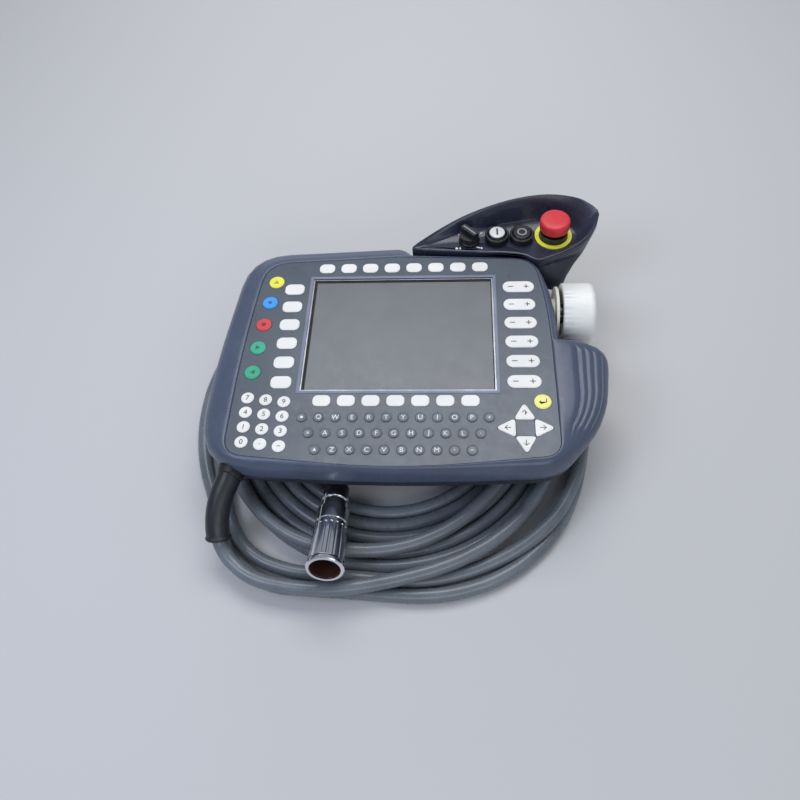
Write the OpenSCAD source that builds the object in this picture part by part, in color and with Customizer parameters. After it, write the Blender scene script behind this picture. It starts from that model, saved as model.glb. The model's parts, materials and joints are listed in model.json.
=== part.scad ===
// Hand-held teach pendant for an industrial robot: a flat housing with a colour
// display and a membrane keypad, a switch pod at its upper right corner, a
// six-way hand controller on its right side, and a coiled cable with a circular
// connector. It lies on its back, on the raised middle of the rear shell.
// +X runs to the right of the display, +Y towards its upper edge, +Z out of it.

/* [Housing] */
// Height of the keypad face above the resting surface
face_z = 80; // [74:1:90]
// Height of the joint between the front frame and the rear shell
part_z = 60; // [57:0.5:62]
// Wall of the moulded shells
wall = 2.6; // [2:0.1:3.2]
// Rise of the frame's inner edge above the keypad face
lip = 0.6; // [0.3:0.1:1]
// Drop of the frame's curved top from its inner edge to its flank
frame_drop = 16.6; // [15:0.2:18]
// Width of the ledge that carries the keypad plate
ledge_w = 5; // [4:0.25:6]
// Depth of the grooves in the hand grip
groove_d = 1.1; // [0.4:0.1:1.6]
// Thickness of the seal between frame and rear shell
seal_t = 0.6; // [0.4:0.1:1]
// Height of the flat back of the rear shell above the resting surface
pan_z = 42; // [38:1:44]
// Half width of the raised middle of the rear shell
hump_a = 49; // [45:0.5:51]
// Half length of the raised middle of the rear shell
hump_b = 59; // [54:0.5:60]

/* [Display] */
// Width of the display opening
screen_w = 163; // [150:1:166]
// Height of the display opening
screen_h = 122.5; // [112:0.5:124]
// Thickness of the display window
window_t = 1.8; // [1.2:0.1:2.4]
// Thickness of the display module
display_t = 12; // [10:0.5:13]

/* [Keypad] */
// Thickness of the plate under the keypad foil
plate_t = 1.2; // [0.8:0.1:1.6]
// Thickness of the keypad foil
foil_t = 0.8; // [0.5:0.1:1.2]
// Rise of the keys above the keypad face
key_rise = 0.9; // [0.6:0.1:1.4]
// Travel of a key that has its own cap
key_travel = 0.5; // [0.3:0.1:0.5]
// Diameter of the coloured round keys
round_key_d = 14; // [13:0.5:16]
// Diameter of the number keys
number_key_d = 10.8; // [10:0.2:12.4]
// Diameter of the letter keys
letter_key_d = 8.8; // [7:0.2:10]
// Distance between letter keys
letter_pitch = 13.92; // [13:0.02:14]
// Width of a cursor key
cursor_key_w = 16; // [13:0.5:17]

/* [Switch pod] */
// Height of the pod's floor above the resting surface
pod_floor_z = 83; // [81:0.5:85]
// Height of the pod's rim above its floor, at its highest point
pod_rim_h = 25; // [16:1:30]
// Diameter of the emergency stop's cap
estop_cap_d = 27.5; // [24:0.5:32]
// Height of the emergency stop's cap
estop_cap_h = 11.5; // [9:0.5:14]
// Diameter of the emergency stop's stem
estop_stem_d = 16; // [12:0.5:18]
// Travel of the emergency stop
estop_travel = 3.5; // [2:0.25:3.75]
// Diameter of the two drive buttons
button_d = 17.2; // [14:0.2:18]
// Travel of the two drive buttons
button_travel = 2.5; // [1:0.25:2.5]
// Diameter of the mode selector's knob
knob_d = 18.6; // [16:0.2:19]
// Height of the mode selector's knob
knob_h = 11; // [8:0.5:14]

/* [Hand controller] */
// Diameter of the hand controller's cap
puck_d = 56; // [50:1:60]
// Length of the hand controller's cap
puck_l = 28.8; // [28:0.2:34]
// Gap between the cap and its flange
puck_gap = 3.5; // [3.4:0.1:4]
// Diameter of the plunger that carries the cap
plunger_d = 18; // [14:0.5:20]

/* [Enabling switches] */
// Length of an enabling switch's bar
enable_l = 62; // [50:1:70]
// Width of an enabling switch's bar
enable_w = 16; // [12:0.5:18]
// Travel of an enabling switch
enable_travel = 3; // [2:0.25:3.5]

/* [Cable and connector] */
// Diameter of the cable
cable_d = 12; // [11:0.2:12]
// Diameter of the cable's boot
boot_d = 20; // [18:0.5:20]
// Outer diameter of the rim round the coupling sleeve's open end
sleeve_d = 30.6; // [29:0.2:31]
// Outer diameter of the coupling sleeve behind that rim
barrel_d = 26.8; // [26.6:0.1:27.4]
// Length of the coupling sleeve
sleeve_l = 57; // [52:1:60]
// Bore of the coupling sleeve's open end
mouth_d = 25; // [24:0.1:25.2]
// Depth of the coupling sleeve's open end
mouth_l = 30; // [24:1:32]
// Upward tilt of the connector's open end
connector_tilt = 15.5; // [15:0.25:16]

/* [Hidden] */
$fn = 64;

// Clearances
key_gap = 0.35;     // round a key in its hole
fit_gap = 0.3;      // between pieces that lie beside each other
turn_gap = 0.05;    // radial, for what turns or slides in a bore
slide_gap = 0.08;   // radial, for the hand controller's plunger
shaft_gap = 0.35;   // radial, for a switch's shaft through a cover

frame_color = "slategray";
foil_color = "lightslategray";
dark_color = "#3a3d49";
key_color = "#f2f2ee";

// Outline of the housing, counter-clockwise from the lower left corner. Each corner
// holds the keypad's x, y and how far its rounding reaches, then the frame's.
housing_corners = [
  [-138.5, -123.5, 16, -164, -132, 54],
  [0, -137, 60, 0, -139.5, 60],
  [131.5, -123.5, 14, 131, -134, 20],
  [131.6, -80, 8, 173, -82, 28],
  [131.4, -14, 3, 182.5, -8.5, 23],
  [131.2, -8, 2, 139, -8, 5],
  [130.2, 20, 10, 138.6, 22, 10],
  [127.6, 46, 8, 135.8, 48, 8],
  [121, 84.5, 18, 125.5, 86.5, 24],
  [8, 89.4, 6, 11.5, 94.6, 4],
  [-4, 89.5, 3, 0, 108.8, 8],
  [-129, 82.5, 22, -151, 102, 40],
  [-138, -10, 60, -164, -30, 44]
];
corner_steps = 5;   // straight pieces in one rounding

// Sections of the grip's grooves, as shares of the frame's width
groove_places = [0.43, 0.57, 0.71, 0.85];
groove_half = 0.017;

// Outline of the pod, counter-clockwise from its left tip. Each point holds the rim's
// x, y and share of the rim's full height, then the floor's x, y and the base's x, y.
pod_points = [
  [8.4, 98.7, 0.03, 15, 98.5, 47, 94],
  [16, 95.6, 0.03, 20, 97, 53, 92.9],
  [42, 93.2, 0.03, 43, 95.2, 62, 92],
  [72, 91.1, 0.03, 72, 93.1, 80, 90.7],
  [100, 89.2, 0.03, 100, 91.2, 100, 89.3],
  [113, 86.2, 0.03, 113, 88.4, 113, 86.3],
  [120.5, 82, 0.03, 121, 85, 121.5, 82.6],
  [126.5, 79.8, 0.04, 127, 83.5, 133, 78.5],
  [135, 82.5, 0.05, 135, 87, 144, 76],
  [153, 90, 0.12, 148, 95.5, 151, 79],
  [172, 101, 0.4, 157, 101, 154, 88],
  [181.5, 118.5, 0.8, 160, 110, 155, 98],
  [172.5, 129.5, 0.96, 157, 119, 151, 108],
  [158.5, 137, 1, 149, 126, 148, 114],
  [134.5, 141, 1, 132, 131.5, 131, 117.5],
  [107, 137, 0.99, 104, 128.5, 109, 117.5],
  [81, 130.3, 0.88, 79, 122.5, 88, 116],
  [54.5, 123.3, 0.6, 53, 115.5, 68, 112.5],
  [28.5, 111.8, 0.28, 33, 106, 55, 104]
];

// Heights in the stack behind the keypad face
foil_z = face_z - foil_t;
plate_z = foil_z - plate_t;
ledge_t = wall;
board_t = 1.6;
keypad_board_z = plate_z - board_t;
window_z = plate_z - window_t;
display_z = window_z - display_t;
main_board_z = pan_z + 12;
frame_top_z = face_z + lip;
flank_z = frame_top_z - frame_drop;
shell_top_z = part_z - seal_t;
panel_gap = 0.5;

// Places of the keys on the face
status_x = -99.2;
status_y = [for (k = [0:5]) 49.9 - 20.8 * k];
rocker_x = 105.5;
rocker_y = [for (k = [0:5]) 50.3 - 20.84 * k];
menu_x = [for (k = [0:7]) -71.1 + 20.36 * k];
menu_y = 75.3;
softkey_x = [for (k = [0:6]) -62.7 + 20.56 * k];
softkey_y = -72.8;
letter_rows = [[-77.5, -88.7, 12], [-70.7, -103.6, 11], [-63.8, -119, 10]];
number_at = [-125.4, -70];
number_column = [15.6, -1.9];
number_row = [0.35, -14.15];
yellow_at = [-117.3, 59.1];
blue_at = [-120.2, 34.1];
red_at = [-122.6, 8.5];
upper_green_at = [-124.1, -17.3];
lower_green_at = [-125.2, -43.7];
enter_at = [119.3, -73.8];
cursor_at = [104, -98.6];
cursor_reach = 15.2;   // from the cluster's middle to a key's middle
cursor_turns = [0, 180, 90, -90];   // up, down, left, right
letters_gap = 0.6;     // between a row's last letter key and the cursor cluster
letters_end = cursor_at.x - cursor_reach - cursor_key_w / 2 - letter_key_d / 2 - letters_gap;
// The letter keys in a row: what its list asks for, as far as the pitch leaves room
function letter_count(row) = min(row[2], floor((letters_end - row[0]) / letter_pitch) + 1);

// Width, depth and corner radius of the keys on the foil
menu_key = [14.4, 11, 4.6];
status_key = [17.8, 12.4, 4.8];
rocker_key = [28, 12.8, 6.2];
softkey = [14.9, 10.8, 4.3];

// The main board and what it stands on
main_board_size = [202, 148, 3];
board_post_at = [80, 66];
board_post_d = 7;

// Pod switches
mode_at = [62, 106.5];
drives_on_at = [88, 108.8];
drives_off_at = [111.2, 109];
estop_at = [140.9, 110.9];
pod_skin = wall;
pod_split_z = pod_floor_z - 9;
collar_w = 2.3;
collar_h = 6.6;
button_h = 5;
button_z = pod_floor_z + button_travel + 0.5;
shaft_d = 9;
shaft_l = 14;
lens_d = 14.4;
estop_collar_h = 6.5;
estop_cap_z = pod_floor_z + estop_collar_h + estop_travel + 0.5;
estop_socket = 3.3;
block_d = 15;
block_h = 14;

// Hand controller, on an axis along +X
controller_at = [139, 39, 55];
flange_d = 50;
flange_t = 2.6;
hub_d = 28;
hub_l = 18;
gimbal_x = 19;        // from the flange's back to the tilt axes
gimbal_pin_d = 4;
gimbal_bore = 9;      // radii of the two tilting rings
gimbal_r = 13;
carrier_bore = 15;
carrier_r = 19.9;
ring_t = 6;
carrier_t = 8;

// Rear controls
enable_at = [[-92, -20, 0], [98, -52, 0], [-18, 62, 90]];
enable_proud = enable_travel + 0.5;
start_at = [-92, 42];
start_key_d = 13;
screw_at = [[-140, -70], [-136, 40], [-75, 87], [-5, 88], [134, -85], [134, -32]];
screw_d = 2.8;
screw_head_d = 5.8;
screw_head_h = 1.3;
spacer_d = 6.4;

// Cable: where it leaves the housing, and the points that its middle follows
boot_points = [[-132.5, -121, 60], [-135, -128, 59], [-137.5, -134.5, 56.5],
  [-142, -145.5, 51.5], [-145, -156, 45], [-146, -166, 37.5], [-145.5, -175, 29.5]];
lead_points = [[-145.8, -171, 33], [-145.5, -175, 29.5], [-143, -180.5, 25], [-138, -187.3, 21.2],
  [-130.5, -194, 19], [-120.5, -200.8, 18.4], [-107.5, -206, 18.4], [-92, -209.3, 18.4],
  [-75.5, -211.3, 18.4], [-59.5, -211.8, 18.4], [-43.5, -211, 18.4], [-27.5, -208.8, 18.4],
  [-12, -205.8, 18.4], [4, -201.6, 18.4]];
tail_points = [[-34, 53, 6.4], [-52, 42, 6.4], [-62, 24, 6.4], [-66, 2, 6.4],
  [-65, -22, 6.4], [-63, -46, 7], [-60, -70, 9.5], [-56.5, -92, 15]];
coil_at = [-8, -39];
coil_r = [92, 153];
upper_coil_at = [-12, -50];
upper_coil_r = [131, 156];
loops_at = [-6, -36];
loops_r = [159.5, 187];
layer_h = cable_d + 0.2;

// Connector, on its own axis: 0 is its rear shoulder
connector_at = [-51.8, -139.5, 30.6];
backshell_l = 26;
body_d = barrel_d - 4.2;
shoulder_l = 13;

function unit(v) = v / norm(v);
function smooth(t) = let (u = max(0, min(1, t))) u * u * (3 - 2 * u);
function mix(a, b, t) = a + (b - a) * t;

// A closed outline whose corners are rounded with parabolas
function rounded(corners) = let (n = len(corners)) [
  for (i = [0 : n - 1])
    let (
      v = [corners[i][0], corners[i][1]],
      before = [corners[(i + n - 1) % n][0], corners[(i + n - 1) % n][1]],
      after = [corners[(i + 1) % n][0], corners[(i + 1) % n][1]],
      a = v + unit(before - v) * corners[i][2],
      b = v + unit(after - v) * corners[i][2]
    )
    for (k = [0 : corner_steps])
      let (t = k / corner_steps)
      a * (1 - t) * (1 - t) + v * 2 * t * (1 - t) + b * t * t
];

// The outward direction at each point of a counter-clockwise outline
function normals(path) = let (n = len(path)) [
  for (i = [0 : n - 1])
    let (d = unit(path[(i + 1) % n] - path[(i + n - 1) % n]))
    [d.y, -d.x]
];

function inset(path, d) = let (out = normals(path)) [
  for (i = [0 : len(path) - 1]) path[i] - out[i] * d
];

function at_height(path, z) = [for (p = path) [p.x, p.y, z]];

// Points along a smooth closed curve through the given ones
function smooth_loop(points, steps) = let (n = len(points)) [
  for (i = [0 : n - 1])
    for (k = [0 : steps - 1])
      let (t = k / steps, p0 = points[(i + n - 1) % n], p1 = points[i],
        p2 = points[(i + 1) % n], p3 = points[(i + 2) % n])
      p1 + (p2 - p0) * t / 2 + (p0 * 2 - p1 * 5 + p2 * 4 - p3) * t * t / 2
        + (p1 * 3 - p0 - p2 * 3 + p3) * t * t * t / 2
];

// Points along a smooth open curve through the given ones
function smooth_line(points, steps) = let (n = len(points)) concat([
  for (i = [0 : n - 2])
    for (k = [0 : steps - 1])
      let (t = k / steps, p1 = points[i], p2 = points[i + 1],
        p0 = i > 0 ? points[i - 1] : p1 * 2 - p2,
        p3 = i < n - 2 ? points[i + 2] : p2 * 2 - p1)
      p1 + (p2 - p0) * t / 2 + (p0 * 2 - p1 * 5 + p2 * 4 - p3) * t * t / 2
        + (p1 * 3 - p0 - p2 * 3 + p3) * t * t * t / 2
], [points[n - 1]]);

// A skin over rings with the same number of points. Rings run counter-clockwise and
// upwards on the outside; a closed skin joins its last ring to its first.
module skin(rings, closed = false) {
  n = len(rings[0]);
  m = len(rings);
  sides = [
    for (i = [0 : closed ? m - 1 : m - 2])
      for (j = [0 : n - 1])
        let (a = i * n + j, b = i * n + (j + 1) % n,
          c = ((i + 1) % m) * n + (j + 1) % n, d = ((i + 1) % m) * n + j)
        each [[a, d, c], [a, c, b]]
  ];
  caps = closed ? [] : [
    [for (j = [0 : n - 1]) j],
    [for (j = [0 : n - 1]) m * n - 1 - j]
  ];
  polyhedron([for (r = rings) each r], concat(sides, caps));
}

// A round tube along a line of points, with one radius for each point
module sweep(line, radii, sides = 10) {
  n = len(line);
  function along(i) = unit(line[min(i + 1, n - 1)] - line[max(i - 1, 0)]);
  rings = [
    for (i = [0 : n - 1])
      let (d = along(i), u = unit(cross([0, 0, 1], d)), v = cross(d, u))
      [for (k = [0 : sides - 1])
        line[i] + (u * cos(360 * k / sides) + v * sin(360 * k / sides)) * radii[i]]
  ];
  skin(rings);
}

module rounded_plate(w, h, r, t) {
  linear_extrude(t) {
    square([w - 2 * r, h], center = true);
    square([w, h - 2 * r], center = true);
    for (x = [-1, 1], y = [-1, 1])
      translate([x * (w / 2 - r), y * (h / 2 - r)]) circle(r);
  }
}

keypad_outline = rounded([for (c = housing_corners) [c[0], c[1], c[2]]]);
frame_outline = rounded([for (c = housing_corners) [c[3], c[4], c[5]]]);
frame_normals = normals(frame_outline);
foil_outline = inset(keypad_outline, panel_gap);

// How deep the grip's grooves are at each point of the outline
groove_share = [
  for (p = frame_outline) smooth((p.x - 150) / 14) * smooth((-p.y - 16) / 8)
];

// One ring of the frame: s runs from the keypad's edge to the flank, d lies inwards
function frame_ring(s, d, z, groove = 0) = [
  for (i = [0 : len(frame_outline) - 1])
    let (p = mix(keypad_outline[i], frame_outline[i], s) - frame_normals[i] * d)
    [p.x, p.y, z - groove * groove_share[i]]
];

function frame_height(s) = frame_top_z - frame_drop * (1 - sqrt(1 - pow(s, 2.2)));

module front_frame() {
  groove_sections = [
    for (i = [len(groove_places) - 1 : -1 : 0])
      each [[groove_places[i] + groove_half, 0], [groove_places[i], groove_d],
        [groove_places[i] - groove_half, 0]]
  ];
  top_sections = concat([[0.985, 0], [0.955, 0], [0.91, 0]], groove_sections,
    [[0.3, 0], [0.15, 0], [0.04, 0]]);
  rings = concat(
    [frame_ring(1, seal_t, part_z), frame_ring(1, 0, part_z + 1), frame_ring(1, 0, flank_z)],
    [for (q = top_sections) frame_ring(q[0], 0, frame_height(q[0]), q[1])],
    [frame_ring(0, 0, frame_top_z - lip / 2),
      frame_ring(0, 0, plate_z),
      frame_ring(0, ledge_w, plate_z),
      frame_ring(0, ledge_w, plate_z - ledge_t),
      frame_ring(0.45, wall + 0.2, plate_z - ledge_t),
      frame_ring(0.8, wall + 0.2, plate_z - ledge_t - 4.4),
      frame_ring(1, wall + 0.2, flank_z),
      frame_ring(1, wall + 0.2, part_z)]
  );
  color(frame_color) difference() {
    skin(rings, closed = true);
    controller_hole();
    gland_bore(gland_d + 2 * fit_gap);
  }
}

module controller_hole() {
  translate(controller_at - [hub_l + 4, 0, 0]) rotate([0, 90, 0])
    cylinder(h = hub_l + 10, d = hub_d + 2 * fit_gap);
}

module housing_seal() {
  color("#202224") difference() {
    translate([0, 0, shell_top_z]) linear_extrude(seal_t) difference() {
      polygon(inset(frame_outline, 1));
      polygon(inset(frame_outline, wall - 0.2));
    }
    controller_hole();
    gland_bore(gland_d + 2 * fit_gap);
  }
}

hump_at = [4, -40];
// A ring of the raised middle: a rounded rectangle seen from the outline's points
function hump_ring(a, b, z) = [
  for (p = frame_outline)
    let (t = atan2((p.y - hump_at.y) / hump_b, (p.x - hump_at.x) / hump_a),
      c = cos(t), s = sin(t))
    [hump_at.x + a * sign(c) * sqrt(abs(c)), hump_at.y + b * sign(s) * sqrt(abs(s)), z]
];

module rear_shell() {
  pan_in_z = pan_z + wall;
  rings = [
    hump_ring(hump_a - 6, hump_b - 6, 0),
    hump_ring(hump_a - 3.5, hump_b - 3.5, 0.8),
    hump_ring(hump_a - 2, hump_b - 2, 3),
    hump_ring(hump_a - 1, hump_b - 1, pan_z * 0.4),
    hump_ring(hump_a - 2.5, hump_b - 2, pan_z * 0.72),
    hump_ring(hump_a, hump_b, pan_z - 3),
    hump_ring(hump_a + 5, hump_b + 5, pan_z),
    at_height(inset(frame_outline, 10.4), pan_z),
    at_height(inset(frame_outline, 7.4), pan_z + 1),
    at_height(inset(frame_outline, 3.4), pan_z + 6),
    at_height(inset(frame_outline, 1.4), pan_z + 12),
    at_height(inset(frame_outline, seal_t), shell_top_z),
    at_height(inset(frame_outline, wall + seal_t), shell_top_z),
    at_height(inset(frame_outline, wall + 1.6), pan_z + 12.5),
    at_height(inset(frame_outline, wall + 4), pan_z + 7.2),
    at_height(inset(frame_outline, 11), pan_in_z),
    hump_ring(hump_a + 3.5, hump_b + 3.5, pan_in_z),
    hump_ring(hump_a - wall, hump_b - wall, pan_z - 2),
    hump_ring(hump_a - wall - 2.5, hump_b - wall - 2, pan_z * 0.72),
    hump_ring(hump_a - wall - 1, hump_b - wall - 1, pan_z * 0.4),
    hump_ring(hump_a - wall - 3, hump_b - wall - 3, 3.4)
  ];
  color(dark_color) difference() {
    skin(rings);
    controller_hole();
    gland_bore(gland_d + 2 * fit_gap);
    pod_tongue();
    for (s = screw_at) translate([s.x, s.y, 0]) {
      translate([0, 0, pan_z - 5]) cylinder(h = 5 + screw_head_h + 0.1, d = screw_head_d + 0.6);
      translate([0, 0, pan_z]) cylinder(h = 6, d = screw_d + 0.4);
    }
    for (e = enable_at) translate([e.x, e.y, pan_z - 4]) rotate(e[2])
      cube([enable_w + 2 * fit_gap, enable_l + 2 * fit_gap, 16], center = true);
    translate([start_at.x, start_at.y, pan_z - 4]) cylinder(h = 12, d = start_key_d + 2 * fit_gap);
  }
}

module housing_spacers() {
  color("goldenrod") for (s = screw_at)
    translate([s.x, s.y, pan_z + wall]) difference() {
      cylinder(h = plate_z - ledge_t - pan_z - wall, d = spacer_d);
      translate([0, 0, -1]) cylinder(h = 20, d = screw_d + 0.2);
    }
}

module housing_screws() {
  color("silver") for (s = screw_at) translate([s.x, s.y, pan_z + 0.1]) {
    difference() {
      cylinder(h = screw_head_h, d = screw_head_d);
      translate([0, 0, -1]) cylinder(h = 1.8, d = 3, $fn = 6);
    }
    cylinder(h = 18, d = screw_d);
  }
}

module key_holes(grow) {
  for (c = [yellow_at, blue_at, red_at, upper_green_at, lower_green_at, enter_at])
    translate(c) circle(d = round_key_d + 2 * grow);
  for (turn = cursor_turns)
    translate(cursor_at) rotate(turn) translate([0, cursor_reach]) cursor_shape(grow);
}

// A rounded triangle that points along +Y
module cursor_shape(grow) {
  w = cursor_key_w / 2 + grow;
  polygon(rounded([[-w - 1, -w + 0.6 - grow / 2, 4], [w + 1, -w + 0.6 - grow / 2, 4],
    [0, w + 0.8 + grow, 4.5]]));
}

module keypad_plate() {
  color("gray") translate([0, 0, plate_z]) linear_extrude(plate_t) difference() {
    polygon(foil_outline);
    square([screen_w, screen_h], center = true);
    key_holes(key_gap);
  }
}

module keypad_foil() {
  color(foil_color) translate([0, 0, foil_z]) linear_extrude(foil_t) difference() {
    polygon(foil_outline);
    square([screen_w + 2.4, screen_h + 2.4], center = true);
    key_holes(key_gap);
  }
}

module keypad_board() {
  color("darkgreen") translate([0, 0, keypad_board_z]) linear_extrude(board_t) difference() {
    polygon(inset(keypad_outline, ledge_w + 1));
    square([screen_w + 13, screen_h + 13], center = true);
  }
}

module display_window() {
  color("#8a8c90") translate([0, 0, window_z])
    rounded_plate(screen_w + 9, screen_h + 9, 3, window_t);
}

module display_module() {
  color("#6d6f73") translate([0, 0, display_z])
    rounded_plate(screen_w + 20, screen_h + 18, 2, display_t);
}

module display_bracket() {
  floor_z = display_z - 2;
  color("silver") difference() {
    translate([0, 0, floor_z])
      rounded_plate(screen_w + 26, screen_h + 24, 4, keypad_board_z - floor_z);
    translate([0, 0, floor_z + 2])
      rounded_plate(screen_w + 21, screen_h + 19, 2.5, display_t + 6);
    for (x = [-60, 0, 60], y = [-40, 40])
      translate([x, y, floor_z - 1]) cylinder(h = 4, d = 22);
  }
}

module main_board() {
  color("darkgreen") translate([0, 0, main_board_z]) {
    rounded_plate(main_board_size.x, main_board_size.y, main_board_size.z, board_t);
    for (p = [[-50, 20, 32, 32], [20, 25, 26, 18], [-10, -35, 40, 14], [55, -30, 18, 24]])
      translate([p[0], p[1], board_t])
        linear_extrude(2.4) square([p[2], p[3]], center = true);
  }
}

module board_posts() {
  color("goldenrod") for (sx = [-1, 1], sy = [-1, 1])
    translate([sx * board_post_at.x, sy * board_post_at.y, pan_z + wall])
      cylinder(h = main_board_z - pan_z - wall, d = board_post_d);
}

// A key that stands on the foil
module flat_key(size) {
  rounded_plate(size.x, size.y, size.z, key_rise - 0.3);
  rounded_plate(size.x - 1.2, size.y - 1.2, size.z - 0.5, key_rise);
}

module menu_keys() {
  color(key_color) for (x = menu_x) translate([x, menu_y, face_z]) flat_key(menu_key);
}

module status_keys() {
  color(key_color) for (y = status_y)
    translate([status_x, y, face_z]) flat_key(status_key);
}

module rocker_keys() {
  color(key_color) for (y = rocker_y) translate([rocker_x, y, face_z]) flat_key(rocker_key);
}

module softkeys() {
  color(key_color) for (x = softkey_x)
    translate([x, softkey_y, face_z]) flat_key(softkey);
}

module letter_keys() {
  color(foil_color) for (row = letter_rows, k = [0 : letter_count(row) - 1])
    translate([row[0] + letter_pitch * k, row[1], face_z])
      cylinder(h = key_rise, d1 = letter_key_d, d2 = letter_key_d - 2, $fn = 32);
}

module number_keys() {
  color(key_color) for (row = [0 : 3], column = [0 : 2]) {
    at = number_at + number_row * row + number_column * column;
    translate([at.x, at.y, face_z]) {
      cylinder(h = key_rise - 0.3, d = number_key_d);
      cylinder(h = key_rise, d = number_key_d - 1.4);
    }
  }
}

key_z = plate_z + key_travel + 0.1;   // the bottom of a key with its own cap

module round_key(at, tone) {
  color(tone) translate([at.x, at.y, key_z]) {
    cylinder(h = face_z + key_rise - 0.4 - key_z, d = round_key_d);
    cylinder(h = face_z + key_rise - key_z, d = round_key_d - 1.6);
  }
}

module yellow_key() { round_key(yellow_at, "#f5f03c"); }
module blue_key() { round_key(blue_at, "#3296eb"); }
module red_key() { round_key(red_at, "#d7323c"); }
module upper_green_key() { round_key(upper_green_at, "#2da582"); }
module lower_green_key() { round_key(lower_green_at, "#2da582"); }
module enter_key() { round_key(enter_at, "#faf56e"); }

module cursor_key(turn) {
  color(key_color) translate([cursor_at.x, cursor_at.y, key_z]) rotate(turn)
    translate([0, cursor_reach, 0]) {
      linear_extrude(face_z + key_rise - 0.4 - key_z) cursor_shape(0);
      linear_extrude(face_z + key_rise - key_z) cursor_shape(-0.7);
    }
}

module cursor_up_key() { cursor_key(cursor_turns[0]); }
module cursor_down_key() { cursor_key(cursor_turns[1]); }
module cursor_left_key() { cursor_key(cursor_turns[2]); }
module cursor_right_key() { cursor_key(cursor_turns[3]); }

pod_steps = 3;
pod_rim = smooth_loop([for (p = pod_points) [p[0], p[1]]], pod_steps);
pod_rise = smooth_loop([for (p = pod_points) [p[2], 0]], pod_steps);
pod_floor = smooth_loop([for (p = pod_points) [p[3], p[4]]], pod_steps);
pod_foot = smooth_loop([for (p = pod_points) [p[5], p[6]]], pod_steps);
// Where cover and base meet: the higher the rim, the more the wall has drawn in
pod_skirt = [for (i = [0 : len(pod_rim) - 1])
  mix(pod_rim[i], pod_foot[i], 0.45 * pod_rise[i].x)];

// The pod's walls run together at its tip, so an inset is smaller there
function pod_inset(path, d) = let (out = normals(path), n = len(path)) [
  for (i = [0 : n - 1]) path[i] - out[i] * d * min(1, 0.2 + 0.3 * min(i, n - i))
];

// A ring of the scoop: s runs from the floor's edge to the rim, d lies inwards of it,
// and the height is a share of the rim's
function pod_ring(s, d, share, drop = 0) = let (path = pod_inset(pod_rim, d)) [
  for (i = [0 : len(pod_rim) - 1])
    let (p = mix(pod_floor[i], path[i], s))
    [p.x, p.y, pod_floor_z + pod_rim_h * pod_rise[i].x * share - drop]
];

function pod_base_ring(s, d, z) = let (
    path = [for (i = [0 : len(pod_rim) - 1]) mix(pod_skirt[i], pod_foot[i], s)])
  at_height(pod_inset(path, d), z);

module pod_cover() {
  rings = [
    at_height(pod_floor, pod_floor_z - pod_skin),
    at_height(pod_inset(pod_skirt, 2.4), pod_split_z),
    at_height(pod_inset(pod_skirt, 0.6), pod_split_z),
    at_height(pod_skirt, pod_split_z + 0.6),
    pod_ring(1, 0, 0.5, 1),
    pod_ring(1, 0, 1, 0.8),
    pod_ring(1, 0.8, 1, 0),
    pod_ring(1, 1.9, 0.97, 0.3),
    pod_ring(0.72, 1.9, 0.6),
    pod_ring(0.42, 1.9, 0.27),
    pod_ring(0.18, 1.9, 0.08),
    at_height(pod_floor, pod_floor_z)
  ];
  color(dark_color) difference() {
    skin(rings);
    for (c = [mode_at, drives_on_at, drives_off_at])
      translate([c.x, c.y, pod_floor_z - 10]) cylinder(h = 20, d = shaft_d + 2 * shaft_gap);
    translate([estop_at.x, estop_at.y, pod_floor_z - 10])
      cylinder(h = 20, d = estop_stem_d + 2 * shaft_gap);
  }
}

module pod_base() {
  rings = [
    pod_base_ring(1, 3, pan_z + 1),
    pod_base_ring(1, 0.6, pan_z + 4),
    pod_base_ring(0.9, 0, pan_z + 12),
    pod_base_ring(0.5, 0, pan_z + 22),
    pod_base_ring(0.12, 0, pod_split_z - 3),
    pod_base_ring(0, 0.3, pod_split_z),
    pod_base_ring(0, 2.4, pod_split_z),
    pod_base_ring(0.16, 2.2, pod_split_z - 3.5),
    pod_base_ring(0.52, wall, pan_z + 22),
    pod_base_ring(0.92, wall, pan_z + 12),
    pod_base_ring(1, wall + 0.6, pan_z + 5)
  ];
  color(dark_color) {
    skin(rings);
    pod_tongue();
  }
}

// What carries the pod: it reaches through the rear shell's wall
module pod_tongue() {
  translate([64, 80, pan_z + 5]) cube([32, 13, 8]);
}

module switch_blocks() {
  color("#26272b") {
    for (c = [mode_at, drives_on_at, drives_off_at])
      translate([c.x, c.y, pod_floor_z - pod_skin - block_h]) difference() {
        cylinder(h = block_h, d = block_d);
        translate([0, 0, 2]) cylinder(h = 20, d = shaft_d + 2 * shaft_gap);
      }
    translate([estop_at.x, estop_at.y, pod_floor_z - pod_skin - block_h]) difference() {
      cylinder(h = block_h, d = estop_stem_d + 5);
      translate([0, 0, 2]) cylinder(h = 30, d = estop_stem_d + 2 * shaft_gap);
    }
  }
}

module collar(d_out, d_in, h) {
  rotate_extrude() polygon([[d_in / 2, 0], [d_out / 2, 0], [d_out / 2, h - 0.8],
    [d_out / 2 - 0.8, h], [d_in / 2 + 0.3, h], [d_in / 2, h - 0.3]]);
}

module switch_collars() {
  color("#1b1c20") {
    translate([mode_at.x, mode_at.y, pod_floor_z])
      collar(knob_d + 1, shaft_d + 2 * shaft_gap, 3);
    for (c = [drives_on_at, drives_off_at])
      translate([c.x, c.y, pod_floor_z])
        collar(button_d + 2 * (collar_w + shaft_gap), button_d + 2 * shaft_gap, collar_h);
  }
}

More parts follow.
